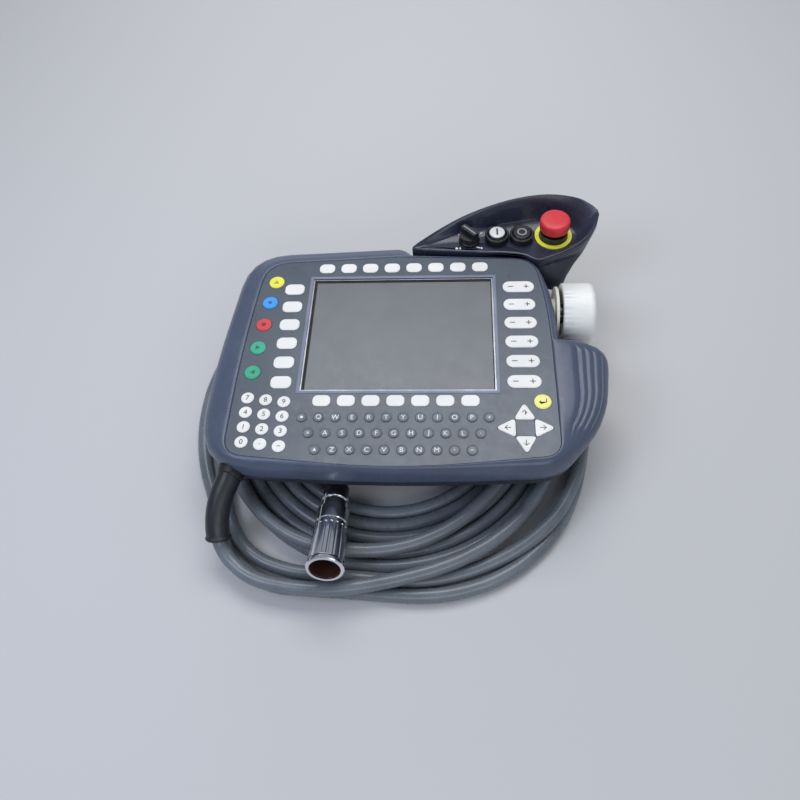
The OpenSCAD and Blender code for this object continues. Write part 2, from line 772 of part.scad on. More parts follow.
module mode_knob() {
  z = pod_floor_z + 3 + fit_gap;
  color("#1b1c20") translate([mode_at.x, mode_at.y, 0]) {
    translate([0, 0, z]) {
      cylinder(h = knob_h * 0.5, d = knob_d);
      rotate(135) {
        intersection() {
          cylinder(h = knob_h, d = knob_d - 0.6);
          translate([0, 0, knob_h / 2]) cube([knob_d, 6, knob_h], center = true);
        }
      }
    }
    translate([0, 0, z - shaft_l]) cylinder(h = shaft_l + 1, d = shaft_d);
  }
}

module drive_button(at) {
  translate([at.x, at.y, 0]) {
    translate([0, 0, button_z]) rotate_extrude() polygon([[0, 0], [button_d / 2, 0],
      [button_d / 2, button_h - 1], [button_d / 2 - 1, button_h], [0, button_h]]);
    translate([0, 0, button_z - shaft_l]) cylinder(h = shaft_l + 1, d = shaft_d);
  }
}

module drives_on_button() { color("#1b1c20") drive_button(drives_on_at); }
module drives_off_button() { color("#1b1c20") drive_button(drives_off_at); }

module drives_on_lens() {
  color("white") translate([drives_on_at.x, drives_on_at.y, button_z + button_h])
    rotate_extrude() polygon([[0, 0], [lens_d / 2, 0], [lens_d / 2 - 0.4, 0.5],
      [lens_d / 4, 0.8], [0, 0.9]]);
}

module estop_ring() {
  color("#e6dc46") translate([estop_at.x, estop_at.y, pod_floor_z]) difference() {
    cylinder(h = 1.2, d = estop_cap_d + 7.2);
    translate([0, 0, -1]) cylinder(h = 4, d = estop_cap_d - 0.6);
  }
}

module estop_collar() {
  color("#1b1c20") translate([estop_at.x, estop_at.y, pod_floor_z])
    collar(estop_cap_d - 1.6, estop_stem_d + 2 * shaft_gap, estop_collar_h);
}

module estop_stem() {
  color("#1b1c20") translate([estop_at.x, estop_at.y, pod_floor_z - 10])
    cylinder(h = estop_cap_z + estop_socket - fit_gap - pod_floor_z + 10, d = estop_stem_d);
}

module estop_cap() {
  r = estop_cap_d / 2;
  h = estop_cap_h;
  color("#d2323c") translate([estop_at.x, estop_at.y, estop_cap_z]) difference() {
    rotate_extrude() polygon([[0, 0], [r - 1.4, 0], [r - 0.4, 0.5], [r, 1.6], [r, h - 3],
      [r - 0.5, h - 1.5], [r - 1.8, h - 0.6], [r - 4, h - 0.3], [r / 2, h - 0.1], [0, h]]);
    translate([0, 0, -1]) cylinder(h = estop_socket + 1, d = estop_stem_d + 2 * turn_gap);
  }
}

// Turns what is drawn round +Z so that it lies on the hand controller's axis
module on_controller_axis() {
  translate(controller_at) rotate([0, 90, 0]) children();
}

module controller_flange() {
  color("#e8e6da") on_controller_axis() difference() {
    union() {
      translate([0, 0, -hub_l]) cylinder(h = hub_l + 1, d = hub_d);
      cylinder(h = flange_t, d = flange_d);
    }
    translate([0, 0, -hub_l - 1]) cylinder(h = hub_l + 10, d = plunger_d + 2 * slide_gap);
  }
}

module controller_plunger() {
  color("silver") on_controller_axis() {
    translate([0, 0, -hub_l + 2]) cylinder(h = hub_l + flange_t + 6, d = plunger_d);
    cylinder(h = gimbal_x + 3, r = gimbal_bore - 2.4);
    translate([0, 0, gimbal_x]) rotate([90, 0, 0])
      cylinder(h = 2 * gimbal_r - 0.4, d = gimbal_pin_d, center = true);
  }
}

module controller_gimbal() {
  color("gray") on_controller_axis() translate([0, 0, gimbal_x]) difference() {
    union() {
      cylinder(h = ring_t, r = gimbal_r, center = true);
      rotate([0, 90, 0])
        cylinder(h = 2 * carrier_r - 2.4, d = gimbal_pin_d, center = true);
    }
    cylinder(h = ring_t + 2, r = gimbal_bore, center = true);
    rotate([90, 0, 0])
      cylinder(h = 3 * gimbal_r, d = gimbal_pin_d + 2 * turn_gap, center = true);
  }
}

module controller_carrier() {
  color("dimgray") on_controller_axis() translate([0, 0, gimbal_x]) difference() {
    cylinder(h = carrier_t, r = carrier_r, center = true);
    cylinder(h = carrier_t + 2, r = carrier_bore, center = true);
    rotate([0, 90, 0])
      cylinder(h = 3 * carrier_r, d = gimbal_pin_d + 2 * turn_gap, center = true);
  }
}

module controller_cap() {
  z = flange_t + puck_gap;
  r = puck_d / 2;
  bore_l = gimbal_x + carrier_t / 2 + fit_gap - z;
  color("#ebebe4") on_controller_axis() translate([0, 0, z]) difference() {
    rotate_extrude() polygon(concat([[0, 0], [r - 0.8, 0], [r, 0.8]],
      [for (a = [0 : 15 : 90]) [r - 5 + 5 * cos(a), puck_l - 5 + 5 * sin(a)]],
      [[0, puck_l]]));
    translate([0, 0, -1]) cylinder(h = bore_l + 1, r = carrier_r + turn_gap);
  }
}

module enable_bar(e) {
  color("#d8d8d2") translate([e.x, e.y, pan_z - enable_proud]) rotate(e[2]) {
    rounded_plate(enable_w - 1, enable_l - 1, 4, 1);
    translate([0, 0, 0.8]) rounded_plate(enable_w, enable_l, 4, enable_proud + wall + 1);
  }
}

module enable_switch_left() { enable_bar(enable_at[0]); }
module enable_switch_right() { enable_bar(enable_at[1]); }
module enable_switch_back() { enable_bar(enable_at[2]); }

module enable_frames() {
  color("#1b1c20") for (e = enable_at)
    translate([e.x, e.y, pan_z - 1.4]) rotate(e[2]) difference() {
      rounded_plate(enable_w + 6, enable_l + 6, 6, 1.4);
      translate([0, 0, -1]) rounded_plate(enable_w + 0.8, enable_l + 0.8, 4.4, 4);
    }
}

module start_key() {
  color("#2da582") translate([start_at.x, start_at.y, pan_z - 2.2])
    rotate_extrude() polygon([[0, 0], [start_key_d / 2 - 1, 0], [start_key_d / 2, 1],
      [start_key_d / 2, wall + 3.4], [0, wall + 3.4]]);
}

gland_d = boot_d + 2.6;
gland_axis = unit(boot_points[1] - boot_points[0]);
gland_turn = [0, acos(gland_axis.z), atan2(gland_axis.y, gland_axis.x)];

module gland_bore(d) {
  translate(boot_points[0] - gland_axis * 8) rotate(gland_turn) cylinder(h = 32, d = d);
}

module cable_gland() {
  color("#1b1c20") difference() {
    translate(boot_points[0] - gland_axis * 4) rotate(gland_turn) {
      cylinder(h = 15, d = gland_d);
      translate([0, 0, 15]) cylinder(h = 1.2, d1 = gland_d, d2 = gland_d - 2);
    }
    gland_bore(boot_d - 0.4);
  }
}

module cable_boot() {
  line = smooth_line(boot_points, 3);
  n = len(line) - 1;
  color("#2d3032") sweep(line, [for (i = [0 : n]) boot_d / 2 - 0.3 * i / n], 16);
}

module cable_run(line) {
  sweep(line, [for (p = line) cable_d / 2], 10);
}

module cable_lead() {
  color("#5f6469") cable_run(smooth_line(lead_points, 2));
}

module coil_layer(at, r, z) {
  translate([at.x, at.y, z]) rotate_extrude($fn = 96) polygon([[r[0], 0], [r[1], 0],
    [r[1], layer_h], [r[0], layer_h]]);
}

module cable_coil() {
  color("#5f6469") {
    coil_layer(coil_at, coil_r, 0);
    coil_layer(loops_at, loops_r, 0);
    coil_layer(upper_coil_at, upper_coil_r, layer_h);
  }
}

connector_turn = [90 - connector_tilt, 0, 0];
connector_axis = [0, -cos(connector_tilt), sin(connector_tilt)];

module on_connector_axis() {
  translate(connector_at) rotate(connector_turn) children();
}

module cable_tail() {
  end = connector_at - connector_axis * backshell_l;
  color("#5f6469") cable_run(smooth_line(concat(tail_points, [end]), 2));
}

module connector_backshell() {
  color("#2d3032") on_connector_axis() translate([0, 0, -backshell_l])
    rotate_extrude() polygon([[0, 0], [cable_d / 2 + 1.5, 0], [cable_d / 2 + 2.5, 1],
      [cable_d / 2 + 3, 12], [cable_d / 2 + 4.5, 14], [cable_d / 2 + 4.5, backshell_l],
      [0, backshell_l]]);
}

module connector_body() {
  r = body_d / 2;
  color("#c9ccd0") on_connector_axis() rotate_extrude() polygon([[0, 0], [r - 1, 0],
    [r + 0.6, 1.2], [r + 0.6, 4], [r - 0.6, 4.6], [r - 0.6, 6.4], [r + 0.6, 7],
    [r + 0.6, shoulder_l - 0.3], [r, shoulder_l - 0.3],
    [r, shoulder_l + sleeve_l - mouth_l - 0.6], [r - 3, shoulder_l + sleeve_l - mouth_l - 0.6],
    [r - 3, shoulder_l + 4], [0, shoulder_l + 4]]);
}

module connector_insert() {
  insert_l = sleeve_l - mouth_l - 10.6;
  insert_r = body_d / 2 - 3.1;
  color("#4a2f22") on_connector_axis() translate([0, 0, shoulder_l + 4]) {
    cylinder(h = insert_l, r = insert_r);
    for (ring = [[0, 1], [0.42, 6], [0.8, 11]], k = [0 : ring[1] - 1])
      rotate(360 * k / ring[1]) translate([ring[0] * insert_r, 0, insert_l - 0.5])
        cylinder(h = 5.5, d = 1.2, $fn = 16);
  }
}

flute_at = 19;        // where the flutes begin, from the sleeve's rear edge
rim_l = 4.4;          // length of the thicker rim round the open end

module coupling_sleeve() {
  b = barrel_d / 2;
  m = b + 1;          // the barrel widens towards the rim
  r = sleeve_d / 2;
  color("#c9ccd0") on_connector_axis() translate([0, 0, shoulder_l]) difference() {
    rotate_extrude() polygon([[0, 0], [b - 0.8, 0], [b, 0.8], [b, 14], [b - 0.7, 14.7],
      [b - 0.7, 16], [b, 16.7], [b, flute_at], [m, sleeve_l - rim_l], [r - 0.4, sleeve_l - 3.6],
      [r, sleeve_l - 2.8], [r, sleeve_l - 0.6], [r - 0.6, sleeve_l], [0, sleeve_l]]);
    translate([0, 0, -1])
      cylinder(h = sleeve_l - mouth_l + 2, d = body_d + 2 * turn_gap);
    translate([0, 0, sleeve_l - mouth_l]) cylinder(h = mouth_l + 1, d = mouth_d);
    for (k = [0 : 17]) rotate(20 * k) translate([b + 0.9, 0, flute_at])
      rotate([0, atan((m - b) / (sleeve_l - rim_l - flute_at)), 0])
        cylinder(h = sleeve_l - rim_l - flute_at - 1, d = 3, $fn = 24);
  }
}

front_frame();
housing_seal();
rear_shell();
housing_spacers();
housing_screws();
keypad_plate();
keypad_foil();
keypad_board();
display_window();
display_module();
display_bracket();
main_board();
board_posts();
menu_keys();
status_keys();
rocker_keys();
softkeys();
letter_keys();
number_keys();
yellow_key();
blue_key();
red_key();
upper_green_key();
lower_green_key();
enter_key();
cursor_up_key();
cursor_down_key();
cursor_left_key();
cursor_right_key();
pod_cover();
pod_base();
switch_blocks();
switch_collars();
mode_knob();
drives_on_button();
drives_on_lens();
drives_off_button();
estop_ring();
estop_collar();
estop_stem();
estop_cap();
controller_flange();
controller_plunger();
controller_gimbal();
controller_carrier();
controller_cap();
enable_switch_left();
enable_switch_right();
enable_switch_back();
enable_frames();
start_key();
cable_gland();
cable_boot();
cable_lead();
cable_coil();
cable_tail();
connector_backshell();
connector_body();
connector_insert();
coupling_sleeve();
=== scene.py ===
import json
import math
import bpy
from mathutils import Matrix, Vector


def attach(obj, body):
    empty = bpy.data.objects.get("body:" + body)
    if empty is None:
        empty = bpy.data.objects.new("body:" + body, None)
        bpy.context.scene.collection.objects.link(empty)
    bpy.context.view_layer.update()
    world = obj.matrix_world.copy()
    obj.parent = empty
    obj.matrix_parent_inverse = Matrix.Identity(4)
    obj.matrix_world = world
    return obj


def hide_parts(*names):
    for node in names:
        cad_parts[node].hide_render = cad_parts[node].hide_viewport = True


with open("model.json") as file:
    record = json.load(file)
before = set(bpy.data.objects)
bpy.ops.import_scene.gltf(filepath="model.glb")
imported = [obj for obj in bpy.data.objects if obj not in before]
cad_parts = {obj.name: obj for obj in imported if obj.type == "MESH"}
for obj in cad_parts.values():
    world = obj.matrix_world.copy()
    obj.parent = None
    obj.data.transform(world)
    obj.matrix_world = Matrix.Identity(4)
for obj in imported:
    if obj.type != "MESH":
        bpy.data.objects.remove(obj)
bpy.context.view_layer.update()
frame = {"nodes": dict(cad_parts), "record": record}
scene = bpy.context.scene
nodes = frame["nodes"]
record = frame["record"]
bodyOf = {node: body for body, held in record["behaviour"]["bodies"].items() for node in held}
slotOf = {part["node"]: part["material_slot"] for part in record["subparts"]}
print("frame loaded:", len(nodes), "nodes")


def mm(*values):
    return tuple(v / 1000 for v in values)


def srgb(red, green, blue):
    out = []
    for v in (red / 255, green / 255, blue / 255):
        out.append(v / 12.92 if v <= 0.04045 else ((v + 0.055) / 1.055) ** 2.4)
    return (*out, 1.0)


def clearSelection():
    if bpy.context.object and bpy.context.object.mode != "OBJECT":
        bpy.ops.object.mode_set(mode="OBJECT")
    bpy.ops.object.select_all(action="DESELECT")


def pick(obj):
    clearSelection()
    obj.select_set(True)
    bpy.context.view_layer.objects.active = obj


# camera, lights and the table it lies on
cameraSetup = {
    "place": (45.65, -402.71, 587.01),
    "right": (0.99750, 0.03806, -0.05948),
    "forward": (-0.07061, 0.54504, -0.83543),
    "lens": 33.08,
}

camera = bpy.data.objects.new("camera", bpy.data.cameras.new("camera"))
scene.collection.objects.link(camera)
camera.data.sensor_width = 36
camera.data.lens = cameraSetup["lens"]
camera.data.clip_start = 0.01
forward = Vector(cameraSetup["forward"]).normalized()
right = Vector(cameraSetup["right"]).normalized()
up = right.cross(forward).normalized()
turn = Matrix((right, up, -forward)).transposed().to_4x4()
camera.matrix_world = Matrix.Translation(mm(*cameraSetup["place"])) @ turn
scene.camera = camera
scene.view_settings.view_transform = "Standard"

studio = {
    "softTop": {"place": (0.05, 0.5, 1.25), "size": (1.0, 0.7),
                "power": 9.4, "tone": (1.0, 0.99, 0.97)},
    "softFront": {"place": (0.3, -1.25, 0.75), "size": (1.2, 0.6),
                  "power": 4.6, "tone": (0.96, 0.98, 1.0)},
    "softLeft": {"place": (-0.585, -0.37, 0.91), "size": (0.45, 0.45),
                 "power": 3.2, "tone": (0.7, 0.78, 1.0)},
    "softBack": {"place": (-0.1, 1.25, 0.42), "size": (1.3, 0.5),
                 "power": 2.2, "tone": (0.95, 0.97, 1.0)},
    "ambient": (0.70, 0.76, 0.88),
    "ambientLevel": 0.40,
    "floor": (0.58, 0.58, 0.585, 1),
}

for lightName in ("softTop", "softFront", "softLeft", "softBack"):
    values = studio[lightName]
    lamp = bpy.data.lights.new(lightName, "AREA")
    lamp.shape = "RECTANGLE"
    lamp.size, lamp.size_y = values["size"]
    lamp.energy = values["power"]
    lamp.color = values["tone"]
    lampObj = bpy.data.objects.new(lightName, lamp)
    scene.collection.objects.link(lampObj)
    lampObj.location = values["place"]
    aim = Vector((0, 0, 0.05)) - Vector(values["place"])
    lampObj.rotation_euler = aim.to_track_quat("-Z", "Y").to_euler()

world = bpy.data.worlds.new("studio")
scene.world = world
world.use_nodes = True
world.node_tree.nodes["Background"].inputs["Color"].default_value = (*studio["ambient"], 1)
world.node_tree.nodes["Background"].inputs["Strength"].default_value = studio["ambientLevel"]

clearSelection()
bpy.ops.mesh.primitive_plane_add(size=8, location=(0, 0, 0))
floor = bpy.context.object
floor.name = "floor"
floorMaterial = bpy.data.materials.new("floor")
floorMaterial.use_nodes = True
floorShader = floorMaterial.node_tree.nodes["Principled BSDF"]
floorShader.inputs["Base Color"].default_value = studio["floor"]
floorShader.inputs["Roughness"].default_value = 0.8
floor.data.materials.append(floorMaterial)
print("camera, lights and floor done")


# Finishes, by the record's slot: tone in sRGB, roughness, size of the moulded grain in
# mm and how deep it is, how much the tone varies, and how scuffed the surface is
finishes = {
    "frame": {"tone": (76, 86, 106), "rough": 0.3,
              "grain": 0.7, "relief": 0.28, "cloud": 0.05, "scuff": 0.10},
    "seal": {"tone": (28, 30, 33), "rough": 0.7,
             "grain": 0.5, "relief": 0.2, "cloud": 0.05, "scuff": 0.05},
    "shell": {"tone": (44, 48, 60), "rough": 0.5,
              "grain": 0.9, "relief": 0.45, "cloud": 0.06, "scuff": 0.18},
    "brass_parts": {"tone": (196, 164, 92), "rough": 0.3, "metal": 1,
                    "grain": 0.4, "relief": 0.08, "cloud": 0.08, "scuff": 0.1},
    "screws": {"tone": (150, 152, 155), "rough": 0.28, "metal": 1,
               "grain": 0.3, "relief": 0.1, "cloud": 0.1, "scuff": 0.2},
    "sheet_metal": {"tone": (160, 163, 167), "rough": 0.38, "metal": 1,
                    "grain": 0.6, "relief": 0.12, "cloud": 0.08, "scuff": 0.15},
    "foil": {"tone": (76, 86, 98), "rough": 0.31,
             "grain": 0.45, "relief": 0.22, "cloud": 0.05, "scuff": 0.07},
    "board": {"tone": (32, 84, 52), "rough": 0.45,
              "grain": 0.8, "relief": 0.2, "cloud": 0.12, "scuff": 0.05},
    "window": {"tone": (108, 112, 116), "rough": 0.34,
               "grain": 0.25, "relief": 0.05, "cloud": 0.03, "scuff": 0.03},
    "display": {"tone": (96, 98, 102), "rough": 0.35,
                "grain": 0.4, "relief": 0.06, "cloud": 0.05, "scuff": 0.04},
    "white_key": {"tone": (238, 238, 234), "rough": 0.48,
                  "grain": 0.4, "relief": 0.15, "cloud": 0.02, "scuff": 0.05},
    "letter_key": {"tone": (98, 106, 114), "rough": 0.34,
                   "grain": 0.4, "relief": 0.15, "cloud": 0.05, "scuff": 0.05},
    "yellow_key": {"tone": (246, 240, 84), "rough": 0.42,
                   "grain": 0.4, "relief": 0.12, "cloud": 0.05, "scuff": 0.04},
    "blue_key": {"tone": (58, 156, 236), "rough": 0.42,
                 "grain": 0.4, "relief": 0.12, "cloud": 0.06, "scuff": 0.04},
    "red_key": {"tone": (216, 66, 74), "rough": 0.42,
                "grain": 0.4, "relief": 0.12, "cloud": 0.06, "scuff": 0.04},
    "green_key": {"tone": (52, 170, 136), "rough": 0.42,
                  "grain": 0.4, "relief": 0.12, "cloud": 0.06, "scuff": 0.04},
    "enter_key": {"tone": (252, 248, 140), "rough": 0.42,
                  "grain": 0.4, "relief": 0.12, "cloud": 0.04, "scuff": 0.04},
    "pod": {"tone": (48, 51, 68), "rough": 0.24,
            "grain": 0.8, "relief": 0.22, "cloud": 0.06, "scuff": 0.14},
    "black_plastic": {"tone": (26, 27, 31), "rough": 0.36,
                      "grain": 0.5, "relief": 0.15, "cloud": 0.06, "scuff": 0.12},
    "lens": {"tone": (228, 230, 228), "rough": 0.22,
             "grain": 0.3, "relief": 0.04, "cloud": 0.03, "scuff": 0.04},
    "ring_yellow": {"tone": (255, 244, 80), "rough": 0.42,
                    "grain": 0.4, "relief": 0.1, "cloud": 0.05, "scuff": 0.06},
    "estop_red": {"tone": (214, 48, 58), "rough": 0.34,
                  "grain": 0.5, "relief": 0.1, "cloud": 0.04, "scuff": 0.08},
    "cream": {"tone": (226, 223, 210), "rough": 0.45,
              "grain": 0.5, "relief": 0.15, "cloud": 0.04, "scuff": 0.10},
    "controller_white": {"tone": (246, 246, 240), "rough": 0.46,
                         "grain": 0.7, "relief": 0.2, "cloud": 0.03, "scuff": 0.07},
    "steel_parts": {"tone": (170, 172, 176), "rough": 0.25, "metal": 1,
                    "grain": 0.3, "relief": 0.08, "cloud": 0.06, "scuff": 0.15},
    "switch_white": {"tone": (216, 216, 210), "rough": 0.5,
                     "grain": 0.6, "relief": 0.25, "cloud": 0.05, "scuff": 0.15},
    "boot": {"tone": (30, 33, 36), "rough": 0.4,
             "grain": 0.6, "relief": 0.3, "cloud": 0.08, "scuff": 0.12},
    "cable": {"tone": (106, 113, 120), "rough": 0.26,
              "grain": 0.9, "relief": 0.2, "cloud": 0.07, "scuff": 0.10},
    "connector_metal": {"tone": (222, 224, 228), "rough": 0.12, "metal": 1,
                        "grain": 0.25, "relief": 0.04, "cloud": 0.06, "scuff": 0.25},
    "insert": {"tone": (66, 42, 32), "rough": 0.4,
               "grain": 0.4, "relief": 0.1, "cloud": 0.1, "scuff": 0.05},
    "dark_mark": {"tone": (52, 56, 66), "rough": 0.5,
                  "grain": 0.3, "relief": 0.05, "cloud": 0.08, "scuff": 0.06},
    "light_mark": {"tone": (238, 242, 244), "rough": 0.5,
                   "grain": 0.3, "relief": 0.05, "cloud": 0.05, "scuff": 0.06},
    # trim: lighter tone is a painted highlight, the chamfer round the display opening catching the light
    "trim_painted_highlight": {"tone": (122, 131, 153), "rough": 0.4,
             "grain": 0.3, "relief": 0.08, "cloud": 0.05, "scuff": 0.10},
    "grey_mark": {"tone": (150, 152, 158), "rough": 0.5,
                  "grain": 0.3, "relief": 0.05, "cloud": 0.06, "scuff": 0.06},
    "enterDark": {"tone": (196, 178, 30), "rough": 0.5,
                  "grain": 0.3, "relief": 0.05, "cloud": 0.08, "scuff": 0.06},
    "blueDark": {"tone": (20, 92, 178), "rough": 0.5,
                 "grain": 0.3, "relief": 0.05, "cloud": 0.08, "scuff": 0.06},
    "redDark": {"tone": (140, 22, 34), "rough": 0.5,
                "grain": 0.3, "relief": 0.05, "cloud": 0.08, "scuff": 0.06},
    "greenDark": {"tone": (16, 104, 80), "rough": 0.5,
                  "grain": 0.3, "relief": 0.05, "cloud": 0.08, "scuff": 0.06},
}


def tint(tone, share):
    return tuple(min(255, max(0, v * share)) for v in tone)


surface = {
    "cloudScale": 26, "cloudDetail": 4, "cloudWarp": 0.4, "fineDetail": 2,
    "scuffScale": 90, "scuffDetail": 9, "scuffWarp": 1.6,
    "grainShade": 0.9, "grainShare": 0.35, "rubbedTone": 205, "rubbedShare": 0.45,
    "roughLow": 0.86, "roughHigh": 1.2, "reliefPerGrain": 0.00012,
}


def makeFinish(name, look):
    material = bpy.data.materials.new(name)
    material.use_nodes = True
    tree = material.node_tree
    new, link = tree.nodes.new, tree.links.new
    shader = tree.nodes["Principled BSDF"]
    shader.inputs["Metallic"].default_value = look.get("metal", 0)
    spot = new("ShaderNodeTexCoord")

    def noise(scale, detail, distortion=0):
        node = new("ShaderNodeTexNoise")
        node.inputs["Scale"].default_value = scale
        node.inputs["Detail"].default_value = detail
        node.inputs["Distortion"].default_value = distortion
        link(spot.outputs["Object"], node.inputs["Vector"])
        return node.outputs["Fac"]

    def spread(value, fromLow, fromHigh, toLow, toHigh):
        node = new("ShaderNodeMapRange")
        node.inputs["From Min"].default_value = fromLow
        node.inputs["From Max"].default_value = fromHigh
        node.inputs["To Min"].default_value = toLow
        node.inputs["To Max"].default_value = toHigh
        link(value, node.inputs["Value"])
        return node.outputs["Result"]

    def blendTone(factor, first, second):
        node = new("ShaderNodeMix")
        node.data_type = "RGBA"
        link(factor, node.inputs[0])
        for socket, tone in ((node.inputs[6], first), (node.inputs[7], second)):
            if isinstance(tone, tuple):
                socket.default_value = tone
            else:
                link(tone, socket)
        return node.outputs[2]

    tone = look["tone"]
    cloud = noise(surface["cloudScale"], surface["cloudDetail"], surface["cloudWarp"])
    fine = noise(1000 / look["grain"], surface["fineDetail"])
    scuff = noise(surface["scuffScale"], surface["scuffDetail"], surface["scuffWarp"])
    base = blendTone(spread(cloud, 0.35, 0.65, 0, 1), srgb(*tint(tone, 1 - look["cloud"])),
                     srgb(*tint(tone, 1 + look["cloud"])))
    base = blendTone(spread(fine, 0.35, 0.7, 0, surface["grainShare"]), base,
                     srgb(*tint(tone, surface["grainShade"])))
    rubbed = tuple(v + (surface["rubbedTone"] - v) * surface["rubbedShare"] for v in tone)
    wear = spread(scuff, 0.6, 0.78, 0, look["scuff"])
    base = blendTone(wear, base, srgb(*rubbed))
    link(base, shader.inputs["Base Color"])
    rough = look["rough"]
    link(spread(scuff, 0.3, 0.7, rough * surface["roughLow"], rough * surface["roughHigh"]),
         shader.inputs["Roughness"])
    bump = new("ShaderNodeBump")
    bump.inputs["Strength"].default_value = look["relief"]
    bump.inputs["Distance"].default_value = look["grain"] * surface["reliefPerGrain"]
    link(fine, bump.inputs["Height"])
    link(bump.outputs["Normal"], shader.inputs["Normal"])
    return material


materials = {name: makeFinish(name + "_finish", look) for name, look in finishes.items()}
for node, obj in nodes.items():
    for materialSlot in obj.material_slots:
        materialSlot.material = materials[slotOf[node]]
print("finishes on", len(nodes), "nodes")


def finishPiece(obj, name, body, slotName, look=None):
    obj.name = name
    obj.data.materials.clear()
    obj.data.materials.append(materials[look or slotName])
    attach(obj, body)
    return obj


def joinAll(objects):
    clearSelection()
    for obj in objects:
        obj.select_set(True)
    bpy.context.view_layer.objects.active = objects[0]
    if len(objects) > 1:
        bpy.ops.object.join()
    return bpy.context.object


# angles in degrees; merge in metres
shading = {"bevelAngle": 38, "bevelSmooth": 40, "flat": 0.5, "smooth": 32, "merge": 0.00001, "weight": 80}


def softenEdges(obj, width, segments=2, angle=shading["bevelAngle"]):
    pick(obj)
    bevel = obj.modifiers.new("edges", "BEVEL")
    bevel.width = width / 1000
    bevel.segments = segments
    bevel.limit_method = "ANGLE"
    bevel.angle_limit = math.radians(angle)
    bpy.ops.object.modifier_apply(modifier=bevel.name)
    bpy.ops.object.shade_smooth_by_angle(angle=math.radians(shading["bevelSmooth"]))


def evenShading(obj):
    # large flat faces stay flat beside their broken edges
    pick(obj)
    weighted = obj.modifiers.new("shading", "WEIGHTED_NORMAL")
    weighted.weight = shading["weight"]
    weighted.keep_sharp = True
    bpy.ops.object.modifier_apply(modifier=weighted.name)


# Nodes that keep their shape: each is copied with its triangles merged, its sharp edges
# broken by the width given here in mm (0 leaves them), and its curves shaded smooth
kept = {
    "front_frame": 0, "housing_seal": 0, "rear_shell": 0, "housing_spacers": 0.2, "housing_screws": 0.15,
    "keypad_plate": 0, "keypad_foil": 0.1, "keypad_board": 0, "display_window": 0.1, "display_module": 0,
    "display_bracket": 0, "main_board": 0, "board_posts": 0.2,
    "menu_keys": 0.25, "status_keys": 0.25, "rocker_keys": 0.25, "softkeys": 0.25, "number_keys": 0.22,
    "yellow_key": 0.3, "blue_key": 0.3, "red_key": 0.3, "upper_green_key": 0.3, "lower_green_key": 0.3,
    "enter_key": 0.3, "cursor_up_key": 0.25, "cursor_down_key": 0.25, "cursor_left_key": 0.25,
    "cursor_right_key": 0.25, "pod_cover": 0, "pod_base": 0, "switch_blocks": 0, "switch_collars": 0.3,
    "mode_knob": 0.5, "drives_on_button": 0.35, "drives_off_button": 0.35, "drives_on_lens": 0.1,
    "estop_ring": 0.2, "estop_collar": 0.3, "estop_stem": 0, "estop_cap": 0, "controller_flange": 0.4,
    "controller_plunger": 0, "controller_gimbal": 0.2, "controller_carrier": 0.2, "controller_cap": 0,
    "enable_frames": 0.3, "enable_switch_left": 0.4, "enable_switch_right": 0.4, "enable_switch_back": 0.4,
    "start_key": 0.4, "cable_gland": 0.3, "connector_backshell": 0.2, "connector_body": 0.15,
    "connector_insert": 0, "coupling_sleeve": 0.12,
}

for node, edge in kept.items():
    copy = bpy.data.objects.new(node + "_finished", nodes[node].data.copy())
    scene.collection.objects.link(copy)
    pick(copy)
    bpy.ops.object.mode_set(mode="EDIT")
    bpy.ops.mesh.select_all(action="SELECT")
    bpy.ops.mesh.remove_doubles(threshold=shading["merge"])
    if edge:
        bpy.ops.mesh.dissolve_limited(angle_limit=math.radians(shading["flat"]))
    bpy.ops.object.mode_set(mode="OBJECT")
    if edge:
        softenEdges(copy, edge)
    bpy.ops.object.shade_smooth_by_angle(angle=math.radians(shading["smooth"]))
    if edge:
        evenShading(copy)
    finishPiece(copy, node + "_finished", bodyOf[node], slotOf[node])
    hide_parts(node)
print("smooth copies:", len(kept))


# dark lining inside the coupling sleeve's open end
mouthLiner = {"radius": 12.42, "wall": 0.35, "from": 41.5, "length": 27.2, "sides": 56,
              "tilt": 15.5, "at": (-51.8, -139.5, 30.6)}
clearSelection()
bpy.ops.mesh.primitive_cylinder_add(vertices=mouthLiner["sides"], radius=mouthLiner["radius"] / 1000,
                                    depth=mouthLiner["length"] / 1000, end_fill_type="NOTHING",
                                    location=(0, 0, (mouthLiner["from"] + mouthLiner["length"] / 2) / 1000))
liner = bpy.context.object
bpy.ops.object.transform_apply(location=True, rotation=False, scale=False)
bpy.ops.object.mode_set(mode="EDIT")
bpy.ops.mesh.select_all(action="SELECT")
bpy.ops.mesh.solidify(thickness=mouthLiner["wall"] / 1000)
bpy.ops.mesh.select_all(action="SELECT")
bpy.ops.mesh.normals_make_consistent(inside=False)
bpy.ops.object.mode_set(mode="OBJECT")
bpy.ops.object.shade_smooth_by_angle(angle=math.radians(shading["bevelSmooth"]))
liner.data.transform(Matrix.Translation(mm(*mouthLiner["at"]))
                     @ Matrix.Rotation(math.radians(90 - mouthLiner["tilt"]), 4, "X"))
finishPiece(liner, "mouth_liner", bodyOf["coupling_sleeve"], "insert")

